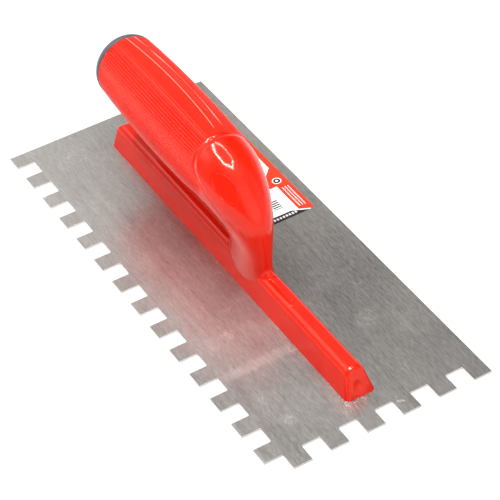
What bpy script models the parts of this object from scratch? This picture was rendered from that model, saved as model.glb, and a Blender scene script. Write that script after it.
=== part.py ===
"""Notched spreading trowel: steel blade, one-piece moulded handle, end plug.

Frame: metres, +Z up. The origin is the centre of the blade's underside.
+X runs along the blade towards its short notched edge, +Y towards its plain
long edge, so the long notched edge lies at -Y.
"""
import math

import bmesh
import bpy
from mathutils import Vector

MM = 0.001

# Blade
BLADE_LENGTH = 280 * MM
BLADE_WIDTH = 120 * MM
BLADE_THICKNESS = 0.8 * MM
NOTCH_SIZE = 10 * MM
NOTCH_PITCH = 20 * MM
NOTCH_FILLET = 0.6 * MM
GAP = 0.3 * MM

# Mounting bar under the handle, heights above the blade
BAR_BACK = -117.4 * MM
BAR_FRONT = 119.4 * MM
BAR_HALF_WIDTH = 8.2 * MM
BAR_SHOULDER_HEIGHT = 12.2 * MM
BAR_SHOULDER_HALF_WIDTH = 5.05 * MM
BAR_TOP_RADIUS = 3.2 * MM
BAR_CROWN_START = math.radians(15)
BAR_FRONT_RADIUS = 2.6 * MM
BAR_BACK_RADIUS = 0.8 * MM
BAR_BACK_DRAFT = 1.6 * MM
BAR_FRONT_DRAFT = 3.9 * MM

# Grip: a barrel along X
GRIP_BACK = -101.5 * MM
GRIP_MIDDLE = -48 * MM
GRIP_FRONT = -14 * MM
GRIP_HALF_WIDTH = 19.3 * MM
GRIP_HALF_HEIGHT = 20.3 * MM
GRIP_TAPER = 0.08
GRIP_TAPER_LENGTH = 52 * MM
GRIP_AXIS_HEIGHT = 57.5 * MM
GRIP_AXIS_DROP = 1.5 * MM

# Hollow of the grip and the plug that closes it
BORE_RADIUS = 14 * MM
BORE_END_RADIUS = 11.5 * MM
BORE_DEPTH = 75 * MM
CAP_DEPTH = 10.6 * MM
CAP_RIM = 0.3 * MM
CAP_WALL = 1 * MM
SPIGOT_LENGTH = 12 * MM
SPIGOT_WALL = 2 * MM
SPIGOT_LEAD = 0.4 * MM

# Screws up through the blade into the bar
SCREW_COUNT = 8
SCREW_PITCH = 30 * MM
SCREW_HEAD_RADIUS = 3.5 * MM
SCREW_CORE_RADIUS = 1.6 * MM
SCREW_LENGTH = 12 * MM
SCREW_RECESS = 0.1 * MM
SCREW_POINT_LENGTH = 2.2 * MM
DRIVE_WIDTH = 0.9 * MM
DRIVE_SPAN = 4 * MM
DRIVE_DEPTH = 1.1 * MM

# Stuck-on label
LABEL_LENGTH = 86 * MM
LABEL_WIDTH = 42 * MM
LABEL_THICKNESS = 0.2 * MM
LABEL_CENTRE = Vector((-53 * MM, 33.5 * MM))

DECK = BLADE_THICKNESS
RING_POINTS = 48
CUT_MARGIN = 2 * MM


def clear_scene():
    for obj in list(bpy.data.objects):
        bpy.data.objects.remove(obj, do_unlink=True)


def new_collection(name):
    collection = bpy.data.collections.new(name)
    bpy.context.scene.collection.children.link(collection)
    return collection


def new_material(name, colour, roughness, metallic):
    material = bpy.data.materials.new(name)
    material.use_nodes = True
    shader = material.node_tree.nodes["Principled BSDF"]
    shader.inputs["Base Color"].default_value = (*colour, 1)
    shader.inputs["Roughness"].default_value = roughness
    shader.inputs["Metallic"].default_value = metallic
    return material


def add_object(name, data, collection, material=None):
    obj = bpy.data.objects.new(name, data)
    collection.objects.link(obj)
    if material and not data.materials:
        data.materials.append(material)
    return obj


def as_cutter(obj):
    obj.hide_render = True
    obj.display_type = "WIRE"
    return obj


def add_boolean(obj, operation, tool):
    modifier = obj.modifiers.new(f"{operation} {tool.name}", "BOOLEAN")
    modifier.operation = operation
    modifier.object = tool
    modifier.solver = "EXACT"


def shade_round(mesh, degrees=35):
    mesh.shade_smooth()
    mesh.set_sharp_from_angle(angle=math.radians(degrees))


def finish_mesh(name, mesh):
    data = bpy.data.meshes.new(name)
    mesh.to_mesh(data)
    mesh.free()
    return data


def skin_rings(name, rings):
    """Closed solid through rings of equal point count, capped at both ends."""
    mesh = bmesh.new()
    loops = [[mesh.verts.new(point) for point in ring] for ring in rings]
    count = len(rings[0])
    for low, high in zip(loops, loops[1:]):
        for i in range(count):
            j = (i + 1) % count
            mesh.faces.new((low[i], low[j], high[j], high[i]))
    mesh.faces.new(list(reversed(loops[0])))
    mesh.faces.new(loops[-1])
    bmesh.ops.recalc_face_normals(mesh, faces=mesh.faces)
    return finish_mesh(name, mesh)


# ---------------------------------------------------------------- blade

def add_box(mesh, low, high):
    made = bmesh.ops.create_cube(mesh, size=1)
    size = [b - a for a, b in zip(low, high)]
    centre = [(a + b) / 2 for a, b in zip(low, high)]
    bmesh.ops.scale(mesh, verts=made["verts"], vec=size)
    bmesh.ops.translate(mesh, verts=made["verts"], vec=centre)
    return made["verts"]


def add_notch(mesh, low, high, axis):
    """A punch for one notch; its upright edges at the closed end are rounded."""
    corners = add_box(mesh, (*low, -CUT_MARGIN), (*high, CUT_MARGIN))
    closed = high[1] if axis == 1 else low[0]
    upright = [edge for edge in {e for v in corners for e in v.link_edges}
               if all(abs(v.co[axis] - closed) < 1e-6 for v in edge.verts)
               and abs(edge.verts[0].co.z - edge.verts[1].co.z) > CUT_MARGIN]
    bmesh.ops.bevel(mesh, geom=upright, offset=NOTCH_FILLET, segments=3,
                    profile=0.5, affect="EDGES")


def notch_punches():
    """Every notch of the two toothed edges, and the square cut off their corner."""
    mesh = bmesh.new()
    half_l = BLADE_LENGTH / 2
    half_w = BLADE_WIDTH / 2
    over = CUT_MARGIN
    start = -half_l + NOTCH_SIZE
    while start < half_l - 2 * NOTCH_SIZE:
        add_notch(mesh, (start, -half_w - over),
                  (start + NOTCH_SIZE, -half_w + NOTCH_SIZE), 1)
        start += NOTCH_PITCH
    start = -half_w + 2 * NOTCH_SIZE
    while start < half_w - NOTCH_SIZE:
        add_notch(mesh, (half_l - NOTCH_SIZE, start),
                  (half_l + over, start + NOTCH_SIZE), 0)
        start += NOTCH_PITCH
    add_box(mesh, (half_l - NOTCH_SIZE, -half_w - over, -CUT_MARGIN),
            (half_l + over, -half_w + NOTCH_SIZE, CUT_MARGIN))
    return finish_mesh("notch punches", mesh)


def plate(name, low, high):
    mesh = bmesh.new()
    add_box(mesh, low, high)
    return finish_mesh(name, mesh)


# ---------------------------------------------------------------- handle

def grip_axis(x):
    """Height of the grip's axis at x, above the blade."""
    return GRIP_AXIS_HEIGHT - GRIP_AXIS_DROP * (x - GRIP_MIDDLE) / GRIP_TAPER_LENGTH


def grip_scale(x):
    return 1 - GRIP_TAPER * ((x - GRIP_MIDDLE) / GRIP_TAPER_LENGTH) ** 2


def signed_power(value, power):
    return math.copysign(abs(value) ** power, value)


def oval_ring(centre_x, height, tilt, half_depth, half_width, power=2.0):
    """Ring across a centreline that lies in the XZ plane; tilt 0 is level."""
    normal = Vector((math.sin(tilt), 0, math.cos(tilt)))
    centre = Vector((centre_x, 0, height + DECK))
    ring = []
    for step in range(RING_POINTS):
        angle = 2 * math.pi * step / RING_POINTS
        depth = half_depth * signed_power(math.cos(angle), 2 / power)
        width = half_width * signed_power(math.sin(angle), 2 / power)
        ring.append(centre + normal * depth + Vector((0, width, 0)))
    return ring


def grip_ring(x, shrink=1.0):
    scale = grip_scale(x) * shrink
    return oval_ring(x, grip_axis(x), 0, GRIP_HALF_HEIGHT * scale,
                     GRIP_HALF_WIDTH * scale)


# Sections from the grip's front, round the bend and down the neck:
# x, height, tilt in degrees, half depth, half width (mm), squareness
NECK_SECTIONS = (
    (-14, 56.5, 0, 19.6, 18.5, 2.0),
    (-5, 56.0, 4, 19.0, 17.6, 2.0),
    (5, 53.3, 20, 18.1, 16.5, 2.0),
    (13.5, 47.2, 42, 17.5, 14.2, 2.0),
    (18.7, 38.5, 66, 16.8, 11.0, 2.1),
    (20.0, 29, 84, 16.4, 8.3, 2.3),
    (20.0, 21, 90, 16.2, 7.1, 2.4),
    (19.5, 16.5, 90, 17.6, 6.6, 2.4),
    (19.0, 12.5, 90, 21.0, 6.2, 2.4),
    (19.0, 3, 90, 21.0, 6.0, 2.4),
)


def catmull(a, b, c, d, t):
    return 0.5 * (2 * b + (c - a) * t + (2 * a - 5 * b + 4 * c - d) * t * t
                  + (3 * b - a - 3 * c + d) * t ** 3)


def blended_sections(sections, steps):
    """Smooth sections between the key ones, ends repeated."""
    padded = [sections[0], *sections, sections[-1]]
    for a, b, c, d in zip(padded, padded[1:], padded[2:], padded[3:]):
        for step in range(steps):
            t = step / steps
            yield [catmull(*values, t) for values in zip(a, b, c, d)]
    yield list(sections[-1])


def grip_and_neck():
    rings = []
    steps = 9
    for step in range(steps):
        rings.append(grip_ring(GRIP_BACK + (GRIP_FRONT - GRIP_BACK) * step / steps))
    for x, height, tilt, depth, width, power in blended_sections(NECK_SECTIONS, 3):
        rings.append(oval_ring(x * MM, height * MM, math.radians(tilt),
                               depth * MM, width * MM, power))
    return skin_rings("grip and neck", rings)


def rounded_rectangle(back, front, half_width, back_radius, front_radius, height):
    """Level ring with its own corner radius at each end."""
    corner_steps = 4
    ring = []
    corners = ((front, 1, 1, front_radius, 0), (back, -1, 1, back_radius, 90),
               (back, -1, -1, back_radius, 180), (front, 1, -1, front_radius, 270))
    for end, outward, side, radius, start in corners:
        centre_x = end - outward * radius
        centre_y = side * (half_width - radius)
        for step in range(corner_steps + 1):
            angle = math.radians(start + 90 * step / corner_steps)
            ring.append(Vector((centre_x + radius * math.cos(angle),
                                centre_y + radius * math.sin(angle), height + DECK)))
    return ring


def mounting_bar():
    """Drafted bar with a rounded top, skinned upwards."""
    crown_steps = 5
    start = BAR_CROWN_START
    centre_width = BAR_SHOULDER_HALF_WIDTH - BAR_TOP_RADIUS * math.cos(start)
    rings = [rounded_rectangle(BAR_BACK, BAR_FRONT, BAR_HALF_WIDTH,
                               BAR_BACK_RADIUS, BAR_FRONT_RADIUS, GAP)]
    centre_height = BAR_SHOULDER_HEIGHT - BAR_TOP_RADIUS * math.sin(start)
    for step in range(crown_steps + 1):
        angle = start + (math.pi / 2 - start) * step / crown_steps
        inset = BAR_SHOULDER_HALF_WIDTH - centre_width - BAR_TOP_RADIUS * math.cos(angle)
        height = centre_height + BAR_TOP_RADIUS * math.sin(angle)
        half_width = BAR_SHOULDER_HALF_WIDTH - inset
        front_radius = min(BAR_FRONT_RADIUS, half_width * 0.9)
        rings.append(rounded_rectangle(BAR_BACK + BAR_BACK_DRAFT + inset,
                                       BAR_FRONT - BAR_FRONT_DRAFT - inset,
                                       half_width, BAR_BACK_RADIUS, front_radius, height))
    return skin_rings("mounting bar", rings)


def screw_positions():
    middle = (BAR_BACK + BAR_FRONT) / 2
    for i in range(SCREW_COUNT):
        yield middle + (i - (SCREW_COUNT - 1) / 2) * SCREW_PITCH


def add_cone(mesh, x, low, high, low_radius, high_radius, segments=24):
    made = bmesh.ops.create_cone(mesh, cap_ends=True, segments=segments,
                                 radius1=low_radius, radius2=high_radius,
                                 depth=high - low)
    bmesh.ops.translate(mesh, verts=made["verts"], vec=(x, 0, (low + high) / 2))


def countersinks():
    mesh = bmesh.new()
    head = SCREW_HEAD_RADIUS + GAP
    for x in screw_positions():
        add_cone(mesh, x, -CUT_MARGIN, head - SCREW_CORE_RADIUS / 2,
                 head + CUT_MARGIN, SCREW_CORE_RADIUS / 2)
    return finish_mesh("countersinks", mesh)


def pilot_holes():
    mesh = bmesh.new()
    for x in screw_positions():
        add_cone(mesh, x, -CUT_MARGIN, SCREW_LENGTH + 2 * GAP,
                 SCREW_CORE_RADIUS + GAP, SCREW_CORE_RADIUS + GAP)
    return finish_mesh("pilot holes", mesh)


def grip_bore():
    mesh = bmesh.new()
    bmesh.ops.create_cone(mesh, cap_ends=True, segments=40, radius1=BORE_RADIUS,
                          radius2=BORE_END_RADIUS, depth=BORE_DEPTH)
    return finish_mesh("grip bore", mesh)


def end_cap():
    """Domed plug: dome, flat rim against the grip, hollow spigot in the bore."""
    back = GRIP_BACK - GAP
    rim = grip_scale(GRIP_BACK)
    axis = grip_axis(GRIP_BACK)
    rings = []

    def ring(x, half_height, half_width):
        rings.append(oval_ring(x, axis, 0, half_height, half_width))

    spigot = BORE_RADIUS - 2 * GAP
    inner = spigot - SPIGOT_WALL
    ring(back + CAP_WALL, inner, inner)
    ring(back + SPIGOT_LENGTH, inner, inner)
    ring(back + SPIGOT_LENGTH, spigot - SPIGOT_LEAD, spigot - SPIGOT_LEAD)
    ring(back, spigot, spigot)
    tall = GRIP_HALF_HEIGHT * rim
    wide = GRIP_HALF_WIDTH * rim
    ring(back, tall - CAP_RIM, wide - CAP_RIM)
    ring(back - CAP_RIM, tall, wide)
    steps = 8
    for step in range(1, steps):
        angle = math.pi / 2 * step / steps
        ring(back - CAP_RIM - CAP_DEPTH * math.sin(angle),
             tall * math.cos(angle), wide * math.cos(angle))
    return skin_rings("end cap", rings)


def screw_profile():
    """Profile on the XZ plane, outer side from the tip down to the head."""
    tip = SCREW_LENGTH
    head_top = SCREW_HEAD_RADIUS - SCREW_CORE_RADIUS + SCREW_RECESS
    points = [(0, tip), (SCREW_CORE_RADIUS, tip - SCREW_POINT_LENGTH),
              (SCREW_CORE_RADIUS, head_top),
              (SCREW_HEAD_RADIUS, SCREW_RECESS), (0, SCREW_RECESS)]
    data = bpy.data.meshes.new("screw")
    data.from_pydata([(x, 0, z) for x, z in points],
                     [(i, i + 1) for i in range(len(points) - 1)], [])
    return data


def add_screw(name, data, x, collection, material):
    obj = add_object(name, data, collection, material)
    obj.location = (x, 0, 0)
    turn = obj.modifiers.new("turn", "SCREW")
    turn.axis = "Z"
    turn.angle = math.tau
    turn.screw_offset = 0
    turn.steps = 20
    turn.render_steps = 20
    turn.use_merge_vertices = True
    turn.merge_threshold = 0.00001
    turn.use_normal_calculate = False
    return obj


def drive_slot():
    mesh = bmesh.new()
    bmesh.ops.create_cube(mesh, size=1)
    bmesh.ops.scale(mesh, verts=mesh.verts,
                    vec=(DRIVE_SPAN, DRIVE_WIDTH, 2 * DRIVE_DEPTH))
    return finish_mesh("drive slot", mesh)


def build():
    clear_scene()
    parts = new_collection("notched trowel")
    tools = new_collection("cutters")
    steel = new_material("brushed steel", (0.55, 0.54, 0.52), 0.35, 1)
    red = new_material("red plastic", (0.75, 0.03, 0.015), 0.3, 0)
    grey = new_material("grey plastic", (0.2, 0.21, 0.23), 0.4, 0)
    zinc = new_material("zinc plated steel", (0.6, 0.6, 0.58), 0.35, 1)
    paper = new_material("printed label", (0.8, 0.8, 0.8), 0.4, 0)

    sinks = as_cutter(add_object("countersinks", countersinks(), tools))
    pilots = as_cutter(add_object("pilot holes", pilot_holes(), tools))

    punches = as_cutter(add_object("notch punches", notch_punches(), tools))
    half = (BLADE_LENGTH / 2, BLADE_WIDTH / 2)
    sheet = plate("blade", (-half[0], -half[1], 0), (*half, BLADE_THICKNESS))
    blade = add_object("blade", sheet, parts, steel)
    add_boolean(blade, "DIFFERENCE", punches)
    add_boolean(blade, "DIFFERENCE", sinks)

    bar = mounting_bar()
    shade_round(bar)
    handle = add_object("handle", bar, parts, red)
    neck = as_cutter(add_object("grip and neck", grip_and_neck(), tools))
    bore = as_cutter(add_object("grip bore", grip_bore(), tools))
    bore.rotation_euler = (0, math.pi / 2, 0)
    bore_start = GRIP_BACK - CUT_MARGIN
    bore.location = (bore_start + BORE_DEPTH / 2, 0, grip_axis(GRIP_BACK) + DECK)
    add_boolean(handle, "UNION", neck)
    add_boolean(handle, "DIFFERENCE", bore)
    add_boolean(handle, "DIFFERENCE", sinks)
    add_boolean(handle, "DIFFERENCE", pilots)

    cap_mesh = end_cap()
    shade_round(cap_mesh)
    add_object("end_cap", cap_mesh, parts, grey)

    slot = drive_slot()
    profile = screw_profile()
    for i, x in enumerate(screw_positions(), start=1):
        screw = add_screw(f"screw_{i}", profile, x, parts, zinc)
        for turn in (0, 90):
            tool = as_cutter(add_object(f"drive slot {i} {turn}", slot, tools))
            tool.location = (x, 0, SCREW_RECESS)
            tool.rotation_euler.z = math.radians(turn)
            add_boolean(screw, "DIFFERENCE", tool)

    low = DECK + GAP
    reach = Vector((LABEL_LENGTH, LABEL_WIDTH)) / 2
    sticker = plate("label", (*(LABEL_CENTRE - reach), low),
                    (*(LABEL_CENTRE + reach), low + LABEL_THICKNESS))
    add_object("label", sticker, parts, paper)


build()
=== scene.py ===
# %% [markdown]
# # A notched trowel
# A steel sheet with square teeth on two edges spreads tile adhesive in even ridges.
# A red plastic handle, moulded in one piece with its mounting bar, is screwed to it from below.
# The frame holds the solid parts. This file gives them their fine shape and their finish.

# %% Load the frame
import math

import bmesh
import bpy
import numpy as np
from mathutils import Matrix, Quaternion, Vector


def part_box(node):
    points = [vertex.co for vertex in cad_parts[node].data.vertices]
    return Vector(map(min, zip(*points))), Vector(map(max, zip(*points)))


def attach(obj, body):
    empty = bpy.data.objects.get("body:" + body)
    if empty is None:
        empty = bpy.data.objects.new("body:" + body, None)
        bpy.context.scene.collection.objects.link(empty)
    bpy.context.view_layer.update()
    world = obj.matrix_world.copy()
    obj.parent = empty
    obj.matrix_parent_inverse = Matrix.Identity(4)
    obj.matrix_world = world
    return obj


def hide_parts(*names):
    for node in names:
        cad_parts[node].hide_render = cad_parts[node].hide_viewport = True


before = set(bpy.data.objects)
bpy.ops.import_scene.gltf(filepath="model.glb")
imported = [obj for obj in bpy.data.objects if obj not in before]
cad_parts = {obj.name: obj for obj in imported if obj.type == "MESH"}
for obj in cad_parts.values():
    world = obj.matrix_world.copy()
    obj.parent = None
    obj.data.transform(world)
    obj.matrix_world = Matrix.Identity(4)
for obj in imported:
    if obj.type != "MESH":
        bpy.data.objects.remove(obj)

MM = 0.001
TAU = math.tau
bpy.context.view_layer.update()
handle_low, handle_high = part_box("handle")
cap_low, cap_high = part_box("end_cap")
blade_low, blade_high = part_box("blade")
label_low, label_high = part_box("label")
DECK = blade_high.z
print("the blade's upper face is", round(DECK / MM, 2), "mm above the ground")

# %% [markdown]
# ## Small tools
# Shader and geometry trees are sums of masks and noises. Wrapping a socket in a class with the
# usual operators lets a tree be written as a plain sum. Every other node comes from one method,
# so a reader sees the node's type, its settings and what is plugged into it on one line.

# %% A socket that can be used in sums
class Wire:
    """An output socket of a node tree."""

    def __init__(self, tree, socket=None):
        self.tree = tree
        self.socket = socket

    def node(self, kind, settings=None, inputs=None, output=0):
        made = self.tree.nodes.new(kind)
        for name, value in (settings or {}).items():
            setattr(made, name, value)
        for key, value in (inputs or {}).items():
            if isinstance(value, Wire):
                self.tree.links.new(value.socket, made.inputs[key])
            else:
                made.inputs[key].default_value = value
        return Wire(self.tree, made.outputs[output])

    def maths(self, operation, *values):
        return self.node("ShaderNodeMath", {"operation": operation}, dict(enumerate(values)))

    def __add__(self, other):
        return self.maths("ADD", self, other)

    def __radd__(self, other):
        return self.maths("ADD", other, self)

    def __sub__(self, other):
        return self.maths("SUBTRACT", self, other)

    def __rsub__(self, other):
        return self.maths("SUBTRACT", other, self)

    def __mul__(self, other):
        return self.maths("MULTIPLY", self, other)

    def __rmul__(self, other):
        return self.maths("MULTIPLY", other, self)

    def __pow__(self, other):
        return self.maths("POWER", self, other)

    def __abs__(self):
        return self.maths("ABSOLUTE", self)

    def most(self, other):
        return self.maths("MAXIMUM", self, other)

    def axis(self, number):
        """One axis of a vector as a number: 0 is X, 1 is Y and 2 is Z."""
        return self.node("ShaderNodeSeparateXYZ", inputs={0: self}, output=number)

    def below(self, limit):
        return self.maths("LESS_THAN", self, limit)

    def ramp(self, low, high, start=0.0, end=1.0):
        """A smooth step from start to end as the value goes from low to high."""
        return self.node("ShaderNodeMapRange", {"interpolation_type": "SMOOTHSTEP"},
                         {0: self, 1: low, 2: high, 3: start, 4: end})


# %% Materials and meshes
def start_material(name):
    """A material with an empty Principled shader, and a wire to start sums from."""
    material = bpy.data.materials.new(name)
    material.use_nodes = True
    shader = material.node_tree.nodes["Principled BSDF"]
    return material, shader, Wire(material.node_tree)


def plug(wire, shader, name):
    wire.tree.links.new(wire.socket, shader.inputs[name])


def own_place(wire):
    """The piece's own coordinates in metres."""
    return wire.node("ShaderNodeTexCoord", output=3)


def noise(wire, scale, detail=3.0, roughness=0.5):
    """Noise from 0 to 1; scale is cycles per metre on each axis."""
    stretched = wire.node("ShaderNodeMapping", inputs={"Vector": own_place(wire), "Scale": scale})
    return wire.node("ShaderNodeTexNoise", inputs={
        "Vector": stretched, "Scale": 1.0, "Detail": detail, "Roughness": roughness})


def blend_colour(mask, first, second):
    """Two colours or wires mixed by a mask."""
    def socket_value(colour):
        return colour if isinstance(colour, Wire) else (*colour, 1)
    return mask.node("ShaderNodeMix", {"data_type": "RGBA"},
                     {0: mask, 6: socket_value(first), 7: socket_value(second)}, output=2)


def bump(wire, height, distance, shader, strength):
    """Tiny relief that only tilts the shading."""
    lifted = wire.node("ShaderNodeBump", inputs={
        "Height": height, "Distance": distance, "Strength": strength})
    plug(lifted, shader, "Normal")


def skin(name, rings):
    """A closed mesh through rings of equal point count, with a face over each end."""
    count = len(rings[0])
    points = np.concatenate(rings)
    faces = []
    for level in range(len(rings) - 1):
        low = level * count
        high = low + count
        for i in range(count):
            j = (i + 1) % count
            faces.append((low + i, low + j, high + j, high + i))
    faces.append(tuple(reversed(range(count))))
    faces.append(tuple(range(len(points) - count, len(points))))
    data = bpy.data.meshes.new(name)
    data.from_pydata([tuple(point) for point in points], [], faces)
    tidy = bmesh.new()
    tidy.from_mesh(data)
    bmesh.ops.recalc_face_normals(tidy, faces=tidy.faces)
    tidy.to_mesh(data)
    tidy.free()
    return data


def add_piece(name, data, material):
    piece = bpy.data.objects.new(name, data)
    bpy.context.scene.collection.objects.link(piece)
    data.materials.clear()
    data.materials.append(material)
    return piece


def freeze(piece):
    """The evaluated shape becomes the piece's own mesh, and its modifiers go."""
    bpy.context.view_layer.update()
    graph = bpy.context.evaluated_depsgraph_get()
    data = bpy.data.meshes.new_from_object(piece.evaluated_get(graph))
    piece.modifiers.clear()
    piece.data = data
    return piece


def smooth(piece, degrees):
    """Smooth shading, with edges sharper than the angle left crisp."""
    piece.data.shade_smooth()
    piece.data.set_sharp_from_angle(angle=math.radians(degrees))


def finish_piece(piece, node):
    """The piece moves with the tool's only body and takes a solid part's place."""
    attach(piece, "root")
    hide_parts(node)
    triangles = sum(len(face.vertices) - 2 for face in piece.data.polygons)
    print(piece.name, "has", triangles, "triangles")


# %% [markdown]
# ## Floor, light and camera
# A hand tool is shown on a pale sweep. The camera stands high on the side of the notched long
# edge, in front of the short one, with a long lens. One ring lamp of six bars hangs above and
# makes the only sharp highlight, on the thumb pad. The soft light comes from the sky: an even
# base and a few cards, each of them a patch of the sky that is brighter or darker. Lamps could
# do this too, but a card costs no noise, and the steel mirrors it without a hard outline.

# %% Camera
CAMERA_AIM = Vector((-1.0, 10.0, 0.0)) * MM
CAMERA_DISTANCE = 1045.2 * MM
CAMERA_AZIMUTH = math.radians(-27.13)
CAMERA_ELEVATION = math.radians(41.46)
CAMERA_ROLL = math.radians(-5.25)
CAMERA_LENS = 147.1

towards_camera = Vector((math.cos(CAMERA_ELEVATION) * math.cos(CAMERA_AZIMUTH),
                         math.cos(CAMERA_ELEVATION) * math.sin(CAMERA_AZIMUTH),
                         math.sin(CAMERA_ELEVATION)))
camera_data = bpy.data.cameras.new("camera")
camera_data.lens = CAMERA_LENS
camera = bpy.data.objects.new("camera", camera_data)
bpy.context.scene.collection.objects.link(camera)
camera.location = CAMERA_AIM + towards_camera * CAMERA_DISTANCE
camera.rotation_mode = "QUATERNION"
camera.rotation_quaternion = (Quaternion(towards_camera, CAMERA_ROLL)
                              @ towards_camera.to_track_quat("Z", "Y"))
bpy.context.scene.camera = camera

# %% Ring lamp and sky
RING_LAMP_MIDDLE = Vector((-0.16, 0.0, 1.4))
RING_LAMP_RADIUS = 0.44
RING_LAMP_SIDES = 6
RING_LAMP_WIDTHS = (0.025, 0.11)
RING_LAMP_RADIANCE = 38
SKY_BASE = 0.45
SKY_COLOUR = (1, 0.985, 0.965, 1)
CARD_EDGE = 9
SKY_CARDS = (
    # what it is, bearing of its middle, half its width, lowest, highest (degrees), radiance added
    ("softbox on the left", -142, 28, 30, 56, 1.6),
    ("card on the right", 25, 48, -90, 30, 0.35),
    ("dark gap beside the camera", -70, 28, 4, 50, -0.3),
    ("dark gap on the far right", 106, 26, 14, 56, -0.38),
    ("fill in front", -5, 32, 0, 58, 0.6),
    ("ceiling", 0, 360, 62, 120, 0.5),
)


def add_bar_lamp(spot, turn, length, width, radiance):
    """A level bar that shines down, turned about the upright axis."""
    data = bpy.data.lights.new("ring lamp side", "AREA")
    data.shape = "RECTANGLE"
    data.size = length
    data.size_y = width
    data.energy = radiance * math.pi * length * width
    made = bpy.data.objects.new("ring lamp side", data)
    bpy.context.scene.collection.objects.link(made)
    made.location = spot
    made.rotation_mode = "QUATERNION"
    up = Vector((0, 0, 1))
    made.rotation_quaternion = Quaternion(up, turn) @ up.to_track_quat("Z", "Y")


side_length = 2 * RING_LAMP_RADIUS * math.sin(math.pi / RING_LAMP_SIDES)
for side in range(RING_LAMP_SIDES):
    turn = TAU * (side + 0.5) / RING_LAMP_SIDES
    outward = Vector((math.cos(turn), math.sin(turn), 0))
    spot = RING_LAMP_MIDDLE + outward * RING_LAMP_RADIUS * math.cos(math.pi / RING_LAMP_SIDES)
    share = (1 - outward.y) / 2
    bar_width = RING_LAMP_WIDTHS[0] * (1 - share) + RING_LAMP_WIDTHS[1] * share
    add_bar_lamp(spot, turn + TAU / 4, side_length, bar_width, RING_LAMP_RADIANCE)
print("the ring lamp has", RING_LAMP_SIDES, "bars of", round(side_length, 2), "m")

world = bpy.data.worlds.new("studio")
bpy.context.scene.world = world
world.use_nodes = True
sky = Wire(world.node_tree)
towards = sky.node("ShaderNodeTexCoord", output=0)
bearing = sky.maths("ARCTAN2", towards.axis(1), towards.axis(0)) * (360 / TAU)
upward = sky.maths("ARCSINE", towards.axis(2)) * (360 / TAU)
sky_light = SKY_BASE
for _, middle, half, low, high, radiance in SKY_CARDS:
    apart = abs(sky.maths("WRAP", bearing - middle, 180, -180))
    card = apart.ramp(half - CARD_EDGE, half + CARD_EDGE, 1, 0)
    card = card * upward.ramp(low - CARD_EDGE, low + CARD_EDGE)
    card = card * upward.ramp(high - CARD_EDGE, high + CARD_EDGE, 1, 0)
    sky_light = card * radiance + sky_light
background = world.node_tree.nodes["Background"]
plug(sky_light, background, "Strength")
background.inputs["Color"].default_value = SKY_COLOUR
bpy.context.scene.view_settings.view_transform = "Standard"

# %% Floor
FLOOR_SIZE = 6.0
FLOOR_GAP = 0.05 * MM

floor_material, floor_shader, _ = start_material("pale floor")
floor_shader.inputs["Base Color"].default_value = (0.8, 0.8, 0.8, 1)
floor_shader.inputs["Roughness"].default_value = 0.9
floor_mesh = bmesh.new()
bmesh.ops.create_grid(floor_mesh, x_segments=1, y_segments=1, size=FLOOR_SIZE / 2)
floor_data = bpy.data.meshes.new("floor")
floor_mesh.to_mesh(floor_data)
floor_mesh.free()
floor_piece = add_piece("floor", floor_data, floor_material)
floor_piece.location.z = -FLOOR_GAP

# %% [markdown]
# ## Red plastic
# The handle is moulded in a glossy red plastic. Its colour is even, because it is dyed right
# through. What shows it is real is the finish: a soft waviness left by the mould, hair-fine
# scuffs where it has been handled and a slightly duller skin in places. Those go to roughness
# and bump, and only a trace of them to colour. Two fine raised lines on top of the grip carry a
# painted highlight, a paler colour along them; an attribute of the mesh says where they run.

# %% Material of the handle
RED = (0.9, 0.017, 0.004)
RED_DEEP = (0.82, 0.012, 0.003)
# Painted highlight: a paler colour along the grip's two raised lines, and how much of it shows.
RED_HIGHLIGHT = (1.0, 0.5, 0.36)
HIGHLIGHT_SHARE = 0.5
RED_IOR = 1.45
WARM_SHEEN = (1, 0.93, 0.78, 1)


def red_plastic():
    material, shader, wire = start_material("red plastic")
    cloud = noise(wire, (45, 45, 45), detail=4)
    scuff = noise(wire, (60, 900, 900), detail=5, roughness=0.7).ramp(0.56, 0.74)
    body = blend_colour(cloud.ramp(0.3, 0.75), RED, RED_DEEP)
    # Painted highlight: paler colour along the two raised lines on top of the grip.
    highlight_mask = wire.node("ShaderNodeAttribute", {"attribute_name": "highlight_line"}, output=2)
    plug(blend_colour(highlight_mask.ramp(0.45, 0.95, 0, HIGHLIGHT_SHARE), body, RED_HIGHLIGHT), shader, "Base Color")
    plug(0.06 + 0.06 * cloud + 0.14 * scuff, shader, "Roughness")
    shader.inputs["IOR"].default_value = RED_IOR
    shader.inputs["Specular Tint"].default_value = WARM_SHEEN
    wave = noise(wire, (130, 130, 130), detail=2)
    bump(wire, wave + scuff * 0.05, 0.04 * MM, shader, 0.3)
    return material


red = red_plastic()

# %% [markdown]
# ## The handle's main form
# The grip is a barrel that bends down into a flat neck and stands on the mounting bar. A loft
# fits it: oval rings follow a centreline, first level along the grip and then round the bend.
# The first rings line the hollow of the grip, so the mesh is one closed shell like the real
# moulding. Six points stand on every rib, so that the ribs can be cut into the same rings.

# %% Sections of the grip and the neck
SPIGOT_LENGTH = 12 * MM
CAP_GAP = 0.3 * MM
GRIP_BACK = cap_high.x - SPIGOT_LENGTH + CAP_GAP
GRIP_FRONT = -14 * MM
GRIP_MIDDLE = -48 * MM
GRIP_HALF_WIDTH = 19.3 * MM
GRIP_HALF_HEIGHT = 20.3 * MM
GRIP_TAPER = 0.08
GRIP_TAPER_LENGTH = 52 * MM
GRIP_AXIS_HEIGHT = 57.5 * MM
GRIP_AXIS_DROP = 1.5 * MM
BORE_RADIUS = 14 * MM
BORE_END_RADIUS = 11.5 * MM
BORE_END = -28.5 * MM
RIB_COUNT = 79
POINTS_PER_RIB = 6
RING_POINTS = RIB_COUNT * POINTS_PER_RIB
EDGE_ROUND = 0.35 * MM
BARREL_STEP = 2.2 * MM
NECK_STEPS = 18
BEND_MIDDLE = 19.5

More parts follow.
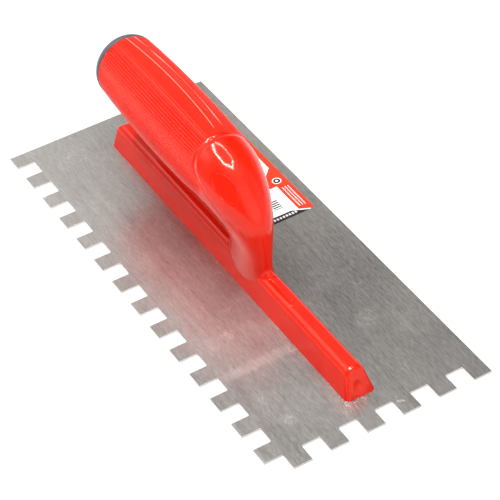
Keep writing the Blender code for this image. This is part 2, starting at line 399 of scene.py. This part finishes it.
# x, height above the blade, tilt in degrees, half depth, half width (mm), squareness
NECK_SECTIONS = (
    (-14, 56.5, 0, 19.6, 18.5, 2.0),
    (-5, 56.0, 4, 19.0, 17.6, 2.0),
    (5, 53.3, 20, 18.1, 16.5, 2.0),
    (13.5, 47.2, 42, 17.5, 14.2, 2.0),
    (18.7, 38.5, 66, 16.8, 11.2, 2.0),
    (20.0, 29, 84, 16.4, 8.6, 2.05),
    (20.0, 21, 90, 16.2, 7.4, 2.1),
    (19.6, 12, 90, 16.2, 6.8, 2.1),
    (19.0, 3, 90, 16.2, 6.4, 2.1),
)
angles = np.arange(RING_POINTS) * TAU / RING_POINTS


def signed_power(values, power):
    """A power that keeps the sign, which squares up a circle."""
    return np.sign(values) * np.abs(values) ** power


def oval(centre_x, height, tilt, half_depth, half_width, squareness=2.0):
    """One ring across the centreline. Angle 0 is the outer side of the bend."""
    depth = half_depth * signed_power(np.cos(angles), 2 / squareness)
    width = half_width * signed_power(np.sin(angles), 2 / squareness)
    return np.stack([centre_x + math.sin(tilt) * depth, width,
                     DECK + height + math.cos(tilt) * depth], axis=1)


def grip_axis(x):
    """Height of the grip's centreline above the blade."""
    return GRIP_AXIS_HEIGHT - GRIP_AXIS_DROP * (x - GRIP_MIDDLE) / GRIP_TAPER_LENGTH


def grip_scale(x):
    """The barrel is thickest in the middle of the hand."""
    return 1 - GRIP_TAPER * ((x - GRIP_MIDDLE) / GRIP_TAPER_LENGTH) ** 2


def grip_section(x, inset=0.0):
    scale = grip_scale(x)
    return (x, grip_axis(x), 0.0, GRIP_HALF_HEIGHT * scale - inset,
            GRIP_HALF_WIDTH * scale - inset, 2.0)


def catmull(a, b, c, d, t):
    """A smooth curve from b to c, with a and d as the points beyond."""
    return 0.5 * (2 * b + (c - a) * t + (2 * a - 5 * b + 4 * c - d) * t * t
                  + (3 * b - a - 3 * c + d) * t ** 3)


def neck_sections(steps):
    """Sections between the key ones, closely spaced; the straight lower neck needs only half."""
    keys = np.array(NECK_SECTIONS)
    padded = np.vstack([keys[:1], keys, keys[-1:]])
    for a, b, c, d in zip(padded, padded[1:], padded[2:], padded[3:]):
        for step in np.arange(0, 1, 1 / (steps if c[0] < BEND_MIDDLE else steps // 2)):
            x, height, tilt, depth, width, square = catmull(a, b, c, d, step)
            yield (x * MM, height * MM, math.radians(tilt), depth * MM, width * MM, square)


hollow = [(BORE_END, grip_axis(GRIP_BACK), 0.0, BORE_END_RADIUS, BORE_END_RADIUS, 2.0),
          (GRIP_BACK, grip_axis(GRIP_BACK), 0.0, BORE_RADIUS, BORE_RADIUS, 2.0)]
rim = [grip_section(GRIP_BACK, EDGE_ROUND),
       grip_section(GRIP_BACK + EDGE_ROUND * 0.3, EDGE_ROUND * 0.3)]
barrel = [grip_section(x)
          for x in np.arange(GRIP_BACK + EDGE_ROUND, GRIP_FRONT - 1 * MM, BARREL_STEP)]
sections = hollow + rim + barrel + list(neck_sections(NECK_STEPS))
loft = np.array([oval(*section) for section in sections])
print("the loft has", len(sections), "rings of", RING_POINTS, "points")

# %% [markdown]
# ## Thumb pad, recess and foot
# In front of the ribs a smooth pad rises for the thumb. Its rim crosses the top of the grip,
# turns forward on both sides and runs out along the neck. On the cheek towards the notched long
# edge lies a flat oval recess with a crisp rim. In its middle stands the small mark of the gate
# through which the plastic entered the mould. Two fine beads run along the top of the grip. At
# the bottom the neck flows into the bar through a small fillet. Pad and beads are heights over
# the loft's surface, as formulas of two measures: travel along the centreline and angle around
# it. The recess is a flat plane that cuts the cheek.

# %% Surface measures
PAD_TOP_EDGE = 8.2 * MM
PAD_SIDE_ANGLE = 76
PAD_SIDE_SPREAD = 7
PAD_CORNER = 14 * MM
PAD_RISE = 0.65 * MM
PAD_EDGE = (-0.2 * MM, 1.4 * MM)
PAD_FADE = (34 * MM, 58 * MM)
PAD_GROOVE = 0.28 * MM
PAD_GROOVE_PLACE = 0.45 * MM
PAD_GROOVE_WIDTH = 0.5 * MM
BEAD_ANGLES = (3, 19)
BEAD_BOW = 7
BEAD_BOW_MIDDLE = 36 * MM
BEAD_BOW_REACH = 50 * MM
BEAD_FADE = (-9 * MM, -0.5 * MM)
BEAD_WIDTH = 0.42 * MM
BEAD_HEIGHT = 0.12 * MM
RECESS_CENTRE = Vector((16.3, -8.35, 64.5)) * MM
RECESS_FACING = Vector((0.492, -0.668, 0.56)).normalized()
RECESS_DEPTH = 0.34 * MM
RECESS_STEP = 0.5 * MM
RECESS_EDGE = 0.07 * MM
GATE_RADIUS = 0.8 * MM
GATE_HEIGHT = 0.45 * MM
SPAN_OF_DEGREE = 0.31 * MM


def smoothstep(values, low, high):
    t = np.clip((values - low) / (high - low), 0, 1)
    return t * t * (3 - 2 * t)


def soft_least(a, b, radius):
    """The smaller of two distances, with the corner between them rounded."""
    blend = np.clip(radius - np.abs(a - b), 0, None)
    return np.minimum(a, b) - blend * blend / (4 * radius)


centres = np.array([section[:2] for section in sections])
steps = np.hypot(*np.diff(centres, axis=0).T)
travel = np.concatenate([[0], np.cumsum(steps)])
neck_start = len(hollow + rim + barrel)
travel = (travel - travel[neck_start])[:, None]
degrees = np.degrees((angles + math.pi) % TAU - math.pi)[None, :]
aside = np.abs(degrees)

side_limit = PAD_SIDE_ANGLE + PAD_SIDE_SPREAD * smoothstep(travel, 15 * MM, 30 * MM)
into_pad = soft_least(travel - PAD_TOP_EDGE, (side_limit - aside) * SPAN_OF_DEGREE, PAD_CORNER)
pad = PAD_RISE * smoothstep(into_pad, *PAD_EDGE)
pad = pad - PAD_GROOVE * np.exp(-((into_pad + PAD_GROOVE_PLACE) / PAD_GROOVE_WIDTH) ** 2)
pad = pad * (1 - smoothstep(travel, *PAD_FADE))
bow = 1 - ((travel + BEAD_BOW_MIDDLE) / BEAD_BOW_REACH) ** 2
beads = sum(np.exp(-((aside - start - BEAD_BOW * bow) * SPAN_OF_DEGREE / BEAD_WIDTH) ** 2)
            for start in BEAD_ANGLES)
beads = beads * (1 - smoothstep(into_pad, *BEAD_FADE)) * (degrees > 0)

along = np.gradient(loft, axis=0)
around = np.roll(loft, -1, axis=1) - np.roll(loft, 1, axis=1)
normals = np.cross(along, around)
normals /= np.linalg.norm(normals, axis=2, keepdims=True)
from_recess = loft - np.array(RECESS_CENTRE)
over_floor = from_recess @ np.array(RECESS_FACING) + RECESS_DEPTH
over_floor = np.where((travel > 0) & (loft[..., 1] < 0), over_floor, 0)
recess = np.clip(over_floor, 0, None) / np.clip(normals @ np.array(RECESS_FACING), 0.5, 1)
recess += RECESS_STEP * smoothstep(over_floor, 0, RECESS_EDGE)
from_gate = np.linalg.norm(from_recess, axis=2)
gate = GATE_HEIGHT * np.exp(-(from_gate / GATE_RADIUS) ** 2)
outside = (np.arange(len(sections)) >= len(hollow + rim))[:, None]
relief = np.where(outside, pad + BEAD_HEIGHT * beads + gate - recess, 0)
loft = loft + normals * relief[:, :, None]
print("the relief goes from", round(relief.min() / MM, 2), "to", round(relief.max() / MM, 2), "mm")

# %% Foot of the neck
BAR_HALF_WIDTH = 8.2 * MM
BAR_SHOULDER_HEIGHT = 11.16 * MM
BAR_SHOULDER_HALF_WIDTH = 5.32 * MM
BAR_TOP_RADIUS = 4.6 * MM
BAR_CROWN_START = math.radians(14.5)
SEAT_GAP = 0.02 * MM
FOOT_FILLET = 5 * MM
FOOT_TOP = 60 * MM
FOOT_TILT = math.radians(80)
crown_centre = (BAR_SHOULDER_HALF_WIDTH - BAR_TOP_RADIUS * math.cos(BAR_CROWN_START),
                BAR_SHOULDER_HEIGHT - BAR_TOP_RADIUS * math.sin(BAR_CROWN_START))


def bar_outline(side_steps, crown_steps):
    """Half width and height above the blade, from the base to the crown's edge."""
    for t in np.linspace(0, 1, side_steps, endpoint=False):
        yield (BAR_HALF_WIDTH + (BAR_SHOULDER_HALF_WIDTH - BAR_HALF_WIDTH) * t,
               BAR_SHOULDER_HEIGHT * t)
    for angle in np.linspace(BAR_CROWN_START, math.pi / 2, crown_steps):
        yield (crown_centre[0] + BAR_TOP_RADIUS * math.cos(angle),
               crown_centre[1] + BAR_TOP_RADIUS * math.sin(angle))


def foot_fillet(points):
    """How far each point of the neck moves along the bar to meet it in a fillet."""
    outline = np.array(list(bar_outline(60, 30)) + [(0, crown_centre[1] + BAR_TOP_RADIUS)])
    tangent = np.gradient(outline, axis=0)
    facing = np.stack([tangent[:, 1], -tangent[:, 0]], axis=1)
    facing /= np.linalg.norm(facing, axis=1, keepdims=True)
    spots = np.stack([np.abs(points[..., 1]), points[..., 2] - DECK], axis=-1)
    gaps = spots[..., None, :] - outline
    nearest = np.argmin((gaps ** 2).sum(axis=-1), axis=-1)
    normal = facing[nearest]
    gap = np.take_along_axis(gaps, nearest[..., None, None], axis=-2)[..., 0, :]
    distance = np.clip((gap * normal).sum(axis=-1), 0, FOOT_FILLET)
    return FOOT_FILLET - np.sqrt(FOOT_FILLET ** 2 - (FOOT_FILLET - distance) ** 2)


foot = loft[:, 0, 2] < DECK + FOOT_TOP
foot &= np.array([section[2] > FOOT_TILT for section in sections])
loft[foot, :, 0] += normals[foot][..., 0] * foot_fillet(loft[foot])
print("the pad covers", int((into_pad > 0).sum()), "points, the foot", int(foot.sum()), "rings")

# %% [markdown]
# ## Grip ribs
# Fine ribs run along the grip and stop at the pad. They repeat 79 times, so they are a rule for
# Geometry Nodes: two attributes say which rib a point belongs to and how deep the groove may be
# there, and the tree sinks the surface along its normal between one rib and the next.

# %% Ribs by Geometry Nodes
RIB_DEPTH = 0.5 * MM
GROOVE_SHARPNESS = 1.6
RIB_STOP = (-2.6 * MM, -0.9 * MM)
RIB_FADE = (12 * MM, 22 * MM)
BARE_TOP = (8, 30)


def new_tree(name, inputs):
    """A geometry tree with named number inputs; returns its group input and output."""
    tree = bpy.data.node_groups.new(name, "GeometryNodeTree")
    tree.interface.new_socket("Geometry", in_out="INPUT", socket_type="NodeSocketGeometry")
    tree.interface.new_socket("Geometry", in_out="OUTPUT", socket_type="NodeSocketGeometry")
    for title, value in inputs.items():
        made = tree.interface.new_socket(title, in_out="INPUT", socket_type="NodeSocketFloat")
        made.default_value = value
    entry = tree.nodes.new("NodeGroupInput")
    leave = tree.nodes.new("NodeGroupOutput")
    return tree, entry, leave


def end_tree(wire, geometry, leave, material):
    """Every tree ends in real mesh with its material set."""
    real = geometry.node("GeometryNodeRealizeInstances", inputs={0: geometry})
    final = real.node("GeometryNodeSetMaterial", inputs={0: real, "Material": material})
    wire.tree.links.new(final.socket, leave.inputs[0])


def run_tree(piece, tree, values):
    """The tree as a modifier with its inputs set, turned into plain mesh."""
    modifier = piece.modifiers.new(tree.name, "NODES")
    modifier.node_group = tree
    for item in tree.interface.items_tree:
        if item.item_type == "SOCKET" and item.in_out == "INPUT" and item.name in values:
            modifier[item.identifier] = values[item.name]
    return freeze(piece)


def rib_tree(material):
    tree, entry, leave = new_tree("grip ribs", {"Rib depth": 0.0, "Sharpness": 1.0})
    wire = Wire(tree)
    depth = Wire(tree, entry.outputs["Rib depth"])
    sharpness = Wire(tree, entry.outputs["Sharpness"])
    number, allowed = (wire.node("GeometryNodeInputNamedAttribute", {"data_type": "FLOAT"},
                                 {"Name": title}) for title in ("rib_number", "rib_allowed"))
    wave = (number * TAU).maths("COSINE", number * TAU)
    groove = (wave * 0.5 + 0.5) ** sharpness
    sink = groove * allowed * depth * -1
    normal = wire.node("GeometryNodeInputNormal")
    offset = wire.node("ShaderNodeVectorMath", {"operation": "SCALE"},
                       {0: normal, "Scale": sink})
    moved = wire.node("GeometryNodeSetPosition",
                      inputs={"Geometry": Wire(tree, entry.outputs["Geometry"]),
                              "Offset": offset})
    end_tree(wire, moved, leave, material)
    return tree


grip = add_piece("grip", skin("grip", list(loft)), red)
ribbed = 1 - smoothstep(into_pad, *RIB_STOP)
ribbed = ribbed * (1 - smoothstep(travel, *RIB_FADE)) * smoothstep(aside, *BARE_TOP)
rib_numbers = np.broadcast_to(np.arange(RING_POINTS) / POINTS_PER_RIB, ribbed.shape)
# The last attribute says where the painted highlight lines run.
for title, values in (("rib_number", rib_numbers),
                      ("rib_allowed", np.where(outside, ribbed, 0)),
                      ("highlight_line", np.where(outside, beads, 0))):
    layer = grip.data.attributes.new(title, "FLOAT", "POINT")
    layer.data.foreach_set("value", values.astype(np.float32).ravel())
run_tree(grip, rib_tree(red), {"Rib depth": RIB_DEPTH, "Sharpness": GROOVE_SHARPNESS})
for title in ("rib_number", "rib_allowed"):
    grip.data.attributes.remove(grip.data.attributes[title])
print("ribs are", round(TAU * GRIP_HALF_HEIGHT / RIB_COUNT / MM, 1), "mm apart")

# %% [markdown]
# ## Mounting bar
# The bar is a long block with drafted sides and a rounded crown, as a mould needs. It is
# skinned from level outlines, each a little smaller than the one below. The thick plastic has
# shrunk as it cooled, which leaves shallow hollows in the sides, halfway between the screws, and
# one in the slanted front end. The screws' holes are left out of this mesh.

# %% Bar
BAR_BACK = handle_low.x
BAR_FRONT = handle_high.x
BAR_FRONT_RADIUS = 2.6 * MM
BAR_BACK_RADIUS = 0.8 * MM
BAR_BACK_DRAFT = 1.6 * MM
BAR_FRONT_DRAFT = 3.9 * MM
SCREW_PITCH = 30 * MM
SINK_DEPTH = 0.1 * MM
SINK_HEIGHT = 5.5 * MM
SINK_SPREAD = 2.6 * MM
FRONT_SINK_DEPTH = 0.9 * MM
FRONT_SINK_SPREAD = 1.9 * MM
FRONT_CROWN_SHARE = 0.6
CORNER_POINTS = 9
STRAIGHT_STEPS = (160, 16, 160, 16)


def bar_ring(back, front, half_width, back_radius, front_radius):
    """A rectangle with its own corner radius at each end, as evenly spread points."""
    corners = ((front, 1, 1, front_radius), (back, -1, 1, back_radius),
               (back, -1, -1, back_radius), (front, 1, -1, front_radius))
    arcs = []
    for quarter, (end, outward, side, radius) in enumerate(corners):
        turn = np.linspace(quarter, quarter + 1, CORNER_POINTS) * math.pi / 2
        arcs.append(np.stack([end - outward * radius + radius * np.cos(turn),
                              side * (half_width - radius) + radius * np.sin(turn)], axis=1))
    ring = []
    for arc, following, count in zip(arcs, arcs[1:] + arcs[:1], STRAIGHT_STEPS):
        ring.append(arc)
        share = np.linspace(0, 1, count + 1)[1:-1, None]
        ring.append(arc[-1] * (1 - share) + following[0] * share)
    return np.concatenate(ring)


def mounting_bar():
    middle = (BAR_BACK + BAR_FRONT) / 2
    rings = []
    for half_width, height in bar_outline(14, 12):
        share = min(height / BAR_SHOULDER_HEIGHT, 1)
        inset = BAR_SHOULDER_HALF_WIDTH - half_width if share == 1 else 0
        flat = bar_ring(BAR_BACK + BAR_BACK_DRAFT * share + inset,
                        BAR_FRONT - BAR_FRONT_DRAFT * share - inset * FRONT_CROWN_SHARE,
                        half_width, BAR_BACK_RADIUS, min(BAR_FRONT_RADIUS, half_width * 0.9))
        level = np.full((len(flat), 1), DECK + max(height, SEAT_GAP))
        ring = np.hstack([flat, level])
        between_screws = np.cos(math.pi * (ring[:, 0] - middle) / SCREW_PITCH) ** 2
        lower = math.exp(-((height - SINK_HEIGHT) / SINK_SPREAD) ** 2)
        on_side = smoothstep(np.abs(ring[:, 1]), half_width * 0.93, half_width * 0.99)
        ring[:, 1] -= np.sign(ring[:, 1]) * SINK_DEPTH * between_screws * lower * on_side
        hollow_front = np.exp(-(ring[:, 1] / FRONT_SINK_SPREAD) ** 2) * lower
        ring[:, 0] -= FRONT_SINK_DEPTH * hollow_front * (ring[:, 0] > middle)
        rings.append(ring)
    return skin("mounting bar", rings)


bar = add_piece("bar", mounting_bar(), red)
bar_size = max(v.co.z for v in bar.data.vertices) - DECK
print("the bar stands", round(bar_size / MM, 1), "mm above the blade")

# %% One moulding
moulding = grip.modifiers.new("one moulding", "BOOLEAN")
moulding.operation = "UNION"
moulding.solver = "MANIFOLD"
moulding.object = bar
freeze(grip)
bpy.data.objects.remove(bar)
grip.name = "handle_moulding"
smooth(grip, 38)
finish_piece(grip, "handle")

# %% [markdown]
# ## End cap
# A grey plug closes the hollow grip. Outside it is a dome with a rounded rim, inside a short
# spigot that is pressed into the bore. It is skinned from ovals like the grip it fits.

# %% End cap
def grey_plastic():
    material, shader, wire = start_material("grey plastic")
    grain = noise(wire, (2600, 2600, 2600), detail=2)
    cloud = noise(wire, (70, 70, 70), detail=3)
    plug(blend_colour(cloud, (0.075, 0.085, 0.105), (0.105, 0.115, 0.135)), shader, "Base Color")
    plug(0.34 + 0.16 * cloud, shader, "Roughness")
    bump(wire, grain, 0.05 * MM, shader, 0.5)
    return material


CAP_BACK = GRIP_BACK - CAP_GAP
CAP_DEPTH = CAP_BACK - cap_low.x
CAP_RIM = 0.6 * MM
SPIGOT_RADIUS = BORE_RADIUS - 0.6 * MM
SPIGOT_WALL = 2 * MM
SPIGOT_FLOOR = 1 * MM
SPIGOT_TAPER = 0.4 * MM
SPIGOT_TAPER_LENGTH = 1.2 * MM


def end_cap():
    tall = GRIP_HALF_HEIGHT * grip_scale(GRIP_BACK)
    wide = GRIP_HALF_WIDTH * grip_scale(GRIP_BACK)
    axis = grip_axis(GRIP_BACK)
    inner = SPIGOT_RADIUS - SPIGOT_WALL

    def ring(x, half_height, half_width):
        return oval(x, axis, 0.0, half_height, half_width)[::3]

    tip = SPIGOT_RADIUS - SPIGOT_TAPER
    rings = [ring(CAP_BACK + SPIGOT_FLOOR, inner, inner),
             ring(cap_high.x, inner, inner),
             ring(cap_high.x, tip, tip),
             ring(cap_high.x - SPIGOT_TAPER_LENGTH, SPIGOT_RADIUS, SPIGOT_RADIUS),
             ring(CAP_BACK, SPIGOT_RADIUS, SPIGOT_RADIUS)]
    for turn in np.linspace(0, math.pi / 2, 5):
        shrink = CAP_RIM * (1 - math.sin(turn))
        rings.append(ring(CAP_BACK - CAP_RIM * (1 - math.cos(turn)), tall - shrink, wide - shrink))
    dome = CAP_DEPTH - CAP_RIM
    for turn in np.linspace(0, math.pi / 2, 24)[1:-1]:
        rings.append(ring(CAP_BACK - CAP_RIM - dome * math.sin(turn),
                          tall * math.cos(turn), wide * math.cos(turn)))
    return skin("end cap", rings)


cap = add_piece("end_plug", end_cap(), grey_plastic())
smooth(cap, 40)
finish_piece(cap, "end_cap")

# %% [markdown]
# ## Blade
# The sheet is cold-rolled steel, brushed along its length and punched at the edges. The solid
# part already has the right outline, so a copy of it is merged into whole faces and its sharp
# edges get a tiny chamfer, which catches the light as a bright line along every tooth. Its tone
# is a sum of grains along the blade, clouds and rubbed spots, and painted light: the notched side
# is painted lighter, the front end and the sheet beside the neck are painted darker, and a pale
# streak and two patches are painted reflections.

# %% Brushed steel
STEEL_TONE = 0.45
GRAIN_SLOPE = 0.26
# What adds to the tone: two grains, broad streaks and clouds, painted light on the notched side.
FINE_SHARE = 0.2
GRAIN_SHARE = 0.42
CLOUD_SHARE = 0.12
LIT_SIDE_GAIN = 0.17
# What takes from it: painted shade towards the front end and beside the neck.
FRONT_SHADE = 0.11
NECK_SHADE = 0.08
NECK_SHADE_SPOT = Vector((35, 15, 1)) * MM
# Patches painted lighter and darker: x, y and radius in millimetres, and how much lighter the
# sheet is there. The dark one is a painted reflection of the grip beside the bar; the light one
# brightens the sheet where it mirrors the handle.
SHADE_AND_LIGHT_SPOTS = ((-38, -14, 38, -0.09), (38, -32, 54, 0.06))
# Where tools and sand have rubbed the sheet: x, y and radius in millimetres.
RUBBED_SPOTS = ((76, 31, 8), (51, -41, 4.5), (47.5, -31, 5), (113, -36, 5))
# Painted reflection: a pale streak across the notched side, the handle's highlight in the steel.
REFLECTION_STREAK_X = 72.5 * MM
SCRATCH_GAIN = 0.2
RUBBED_GAIN = 0.04
STREAK_GAIN = 0.12


def near(spot, middle, inner, outer):
    """1 within the inner radius of a place and 0 beyond the outer one."""
    away = spot.node("ShaderNodeVectorMath", {"operation": "DISTANCE"},
                     {0: spot, 1: middle}, output=1)
    return away.ramp(inner, outer, 1, 0)


def on_sheet(x, y):
    return Vector((x * MM, y * MM, DECK))


def hairlines(wire, cycles, width):
    """Thin curly lines, where a noise passes its middle value."""
    return abs(noise(wire, (cycles, cycles, cycles), detail=2) - 0.5).ramp(0.0, width, 1, 0)


def brushed_steel():
    material, shader, wire = start_material("brushed steel")
    spot = own_place(wire)
    fine = noise(wire, (150, 3000, 3000), detail=2, roughness=0.6) - 0.5
    grain = noise(wire, (230, 1500, 1500), detail=2, roughness=0.75) - 0.5
    broad = noise(wire, (14, 420, 420), detail=3) - 0.5
    smudge = noise(wire, (26, 30, 30), detail=4, roughness=0.6) - 0.5
    # Painted shade: the sheet darkens towards the front end, and the painted light fades there.
    to_front = spot.axis(0).ramp(blade_low.x, blade_high.x)
    # Painted light: the sheet is lighter towards the notched side, where more light falls on it.
    lit_side = spot.axis(1).ramp(-45 * MM, 25 * MM, 1, 0)
    # Painted shade: darker beside the neck, where the handle shades the sheet.
    neck_shade = near(spot, NECK_SHADE_SPOT, 15 * MM, 75 * MM) * (1 - lit_side)
    tone = (FINE_SHARE * fine + GRAIN_SHARE * grain + CLOUD_SHARE * (broad + smudge)
            + LIT_SIDE_GAIN * lit_side * (1 - 0.85 * to_front)
            - FRONT_SHADE * to_front - NECK_SHADE * neck_shade + STEEL_TONE)
    # Patches of painted shade and light, which stand for reflections of the handle.
    for x, y, radius, change in SHADE_AND_LIGHT_SPOTS:
        tone = tone + near(spot, on_sheet(x, y), 0.2 * radius * MM, radius * MM) * change
    scratch = hairlines(wire, 75, 0.006) * noise(wire, (40, 40, 40), detail=1).ramp(0.6, 0.66)
    rubbed = 0
    for x, y, radius in RUBBED_SPOTS:
        rubbed = near(spot, on_sheet(x, y), 0.4 * radius * MM, radius * MM) + rubbed
    scuff = hairlines(wire, 230, 0.025) * rubbed
    # Painted reflection: the pale streak across the notched side.
    band = abs(spot.axis(0) - REFLECTION_STREAK_X).ramp(1 * MM, 5 * MM, 1, 0)
    band = band * spot.axis(1).ramp(-54 * MM, -44 * MM) * spot.axis(1).ramp(-11 * MM, -8 * MM, 1, 0)
    tone = tone + SCRATCH_GAIN * (scratch + scuff) + RUBBED_GAIN * rubbed + STREAK_GAIN * band
    grey = wire.node("ShaderNodeCombineColor", inputs={0: tone, 1: tone * 0.965, 2: tone * 0.925})
    upright = wire.node("ShaderNodeNewGeometry", output=1)
    cut_edge = 1 - abs(upright.axis(2)).ramp(0.2, 0.9)
    plug(blend_colour(cut_edge, grey, (0.66, 0.65, 0.63)), shader, "Base Color")
    shader.inputs["Metallic"].default_value = 0.82
    plug(0.3 + 0.08 * broad + 0.1 * smudge + 0.1 * scratch, shader, "Roughness")
    tilt = wire.node("ShaderNodeCombineXYZ", inputs={1: GRAIN_SLOPE * fine})
    leaning = wire.node("ShaderNodeVectorMath", {"operation": "ADD"}, {0: upright, 1: tilt})
    plug(wire.node("ShaderNodeVectorMath", {"operation": "NORMALIZE"}, {0: leaning}),
         shader, "Normal")
    return material


# %% Blade sheet
CHAMFER = 0.07 * MM


def blade_sheet():
    sheet = bmesh.new()
    sheet.from_mesh(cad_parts["blade"].data)
    bmesh.ops.remove_doubles(sheet, verts=sheet.verts, dist=0.001 * MM)
    bmesh.ops.dissolve_limit(sheet, angle_limit=math.radians(1), verts=sheet.verts,
                             edges=sheet.edges)
    data = bpy.data.meshes.new("blade sheet")
    sheet.to_mesh(data)
    sheet.free()
    return data


blade = add_piece("blade_sheet", blade_sheet(), brushed_steel())
edge = blade.modifiers.new("chamfer", "BEVEL")
edge.width = CHAMFER
edge.segments = 2
edge.limit_method = "ANGLE"
edge.angle_limit = math.radians(40)
edge.harden_normals = False
freeze(blade)
blade.data.shade_flat()
finish_piece(blade, "blade")

# %% [markdown]
# ## Label
# A printed film label is stuck to the blade beside the handle. Its print is plain colour
# panels, bars and a disc, without any words. The panels are masks on the label's own
# coordinates, so they stay sharp at any distance, and each paint lies over the ones before it.

# %% Print of the label
LABEL_WHITE = (0.88, 0.99, 0.99)
LABEL_RED = (0.78, 0.05, 0.02)
LABEL_BLACK = (0.02, 0.022, 0.026)
RING_BLACK = (0.03, 0.03, 0.03)
MARK_BLACK = (0.01, 0.01, 0.01)
BAND_GREY = (0.8, 0.8, 0.8)
# Each panel: from and to along the label from its front end, then from its outer side (mm).
EDGE_STRIP = (-1, 100, -1, 3.2)
WIDE_PANEL = (25.5, 52, -1, 11.7)
TEXT_PANEL = (-1, 26, -1, 7.6)
TEXT_LINES = (5, 23, 1.4, 6.2)
WHITE_LINE = (-1, 5.2, 2, 13)
BAND_MARKS = (1.5, 3.0, 9, 26)
BAR_BLOCK = (9, 17, 13.5, 18.5)
SMALL_PRINT = (20, 28, 10.5, 16)
SMALL_MARK = (36, 38, 8.8, 10.4)
SLANT = 1.03
SLANT_LIMIT = 44.3
BAND_LENGTH = 4.4
DISC_PLACE = (29.5, 5.2)
DISC_SQUARE = 6.5
DISC_RING = (0.7, 3.9)


def between(value, low, high):
    """1 where low < value < high, else 0."""
    return value.maths("GREATER_THAN", value, low) * value.below(high)


def stripes(value, per_mm, start, stop):
    """1 between two shares of every period."""
    periods = value * per_mm
    return between(periods.maths("FRACT", periods), start, stop)


def label_print():
    material, shader, wire = start_material("printed film")
    x, y = (own_place(wire).axis(number) * (1 / MM) for number in (0, 1))
    from_front = label_high.x / MM - x
    from_side = label_high.y / MM - y

    def panel(front_low, front_high, side_low, side_high):
        return between(from_front, front_low, front_high) * between(from_side, side_low, side_high)

    wide_panel = panel(*WIDE_PANEL) * (from_side * SLANT + from_front).below(SLANT_LIMIT)
    red_panel = panel(*EDGE_STRIP).most(wide_panel).most(panel(*TEXT_PANEL))
    short_bars = stripes(x, 0.9, 0.25, 0.8)
    text = panel(*TEXT_LINES) * stripes(from_side, 0.62, 0.25, 0.7) * short_bars
    to_front, to_side = from_front - DISC_PLACE[0], from_side - DISC_PLACE[1]
    from_disc = to_front * to_front + to_side * to_side
    wedge = from_front - (from_side - 3) * 0.5
    band = between(from_front, -1, BAND_LENGTH) * wedge.below(0)
    small = (panel(*BAR_BLOCK) * stripes(x, 0.6, 0.3, 0.85)).most(
        panel(*SMALL_PRINT) * stripes(from_side, 0.5, 0.5, 0.68) * short_bars)
    colour = LABEL_WHITE
    for mask, paint in ((red_panel, LABEL_RED),
                        (text.most(from_disc.below(DISC_SQUARE)), LABEL_WHITE),
                        (between(from_disc, *DISC_RING), RING_BLACK),
                        (panel(*WHITE_LINE) * between(wedge, 0, 0.9), LABEL_WHITE),
                        (band, LABEL_BLACK),
                        (panel(*BAND_MARKS) * stripes(y, 0.55, 0.2, 0.8), BAND_GREY),
                        (small.most(panel(*SMALL_MARK)), MARK_BLACK)):
        colour = blend_colour(mask, colour, paint)
    plug(colour, shader, "Base Color")
    cloud = noise(wire, (90, 90, 90), detail=3)
    plug(0.26 + 0.16 * cloud, shader, "Roughness")
    shader.inputs["Specular IOR Level"].default_value = 0.15
    bump(wire, cloud, 0.1 * MM, shader, 0.5)
    return material


# %% Label film
LABEL_CORNER = 1.6 * MM
LABEL_FILM = 0.1 * MM


def label_film():
    """A rounded outline, extruded by the film's thickness and lying on the blade."""
    flat = bmesh.new()
    bmesh.ops.create_grid(flat, x_segments=1, y_segments=1, size=0.5)
    size = label_high - label_low
    middle = (label_high + label_low) / 2
    bmesh.ops.scale(flat, verts=flat.verts, vec=(size.x, size.y, 1))
    bmesh.ops.translate(flat, verts=flat.verts, vec=(middle.x, middle.y, DECK + SEAT_GAP))
    bmesh.ops.bevel(flat, geom=flat.verts[:], offset=LABEL_CORNER, segments=8, profile=0.5,
                    affect="VERTICES")
    data = bpy.data.meshes.new("label film")
    flat.to_mesh(data)
    flat.free()
    return data


label = add_piece("label_film", label_film(), label_print())
film = label.modifiers.new("film", "SOLIDIFY")
film.thickness = LABEL_FILM
film.offset = 1
freeze(label)
finish_piece(label, "label")

# %% [markdown]
# ## Screws
# Eight countersunk screws hold the bar. Only their heads show, in the underside of the blade.
# The solid parts have the right shape, so they stay and get a zinc finish that is cloudy in
# colour and gloss, with a very fine grain. The bar's mesh has no holes for the screws, so its red
# base fills the last 0.4 mm of each cross recess. That shows only from below.

# %% Zinc plating
def zinc_plating():
    material, shader, wire = start_material("zinc plating")
    cloud = noise(wire, (400, 400, 400), detail=4)
    plug(blend_colour(cloud, (0.52, 0.51, 0.48), (0.7, 0.7, 0.69)), shader, "Base Color")
    shader.inputs["Metallic"].default_value = 1.0
    plug(0.26 + 0.18 * cloud, shader, "Roughness")
    bump(wire, noise(wire, (3000, 3000, 3000)), 0.02 * MM, shader, 0.5)
    return material


zinc = zinc_plating()
screws = [node for name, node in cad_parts.items() if name.startswith("screw_")]
for screw in screws:
    screw.data.materials.clear()
    screw.data.materials.append(zinc)
print(len(screws), "screws in the blade")
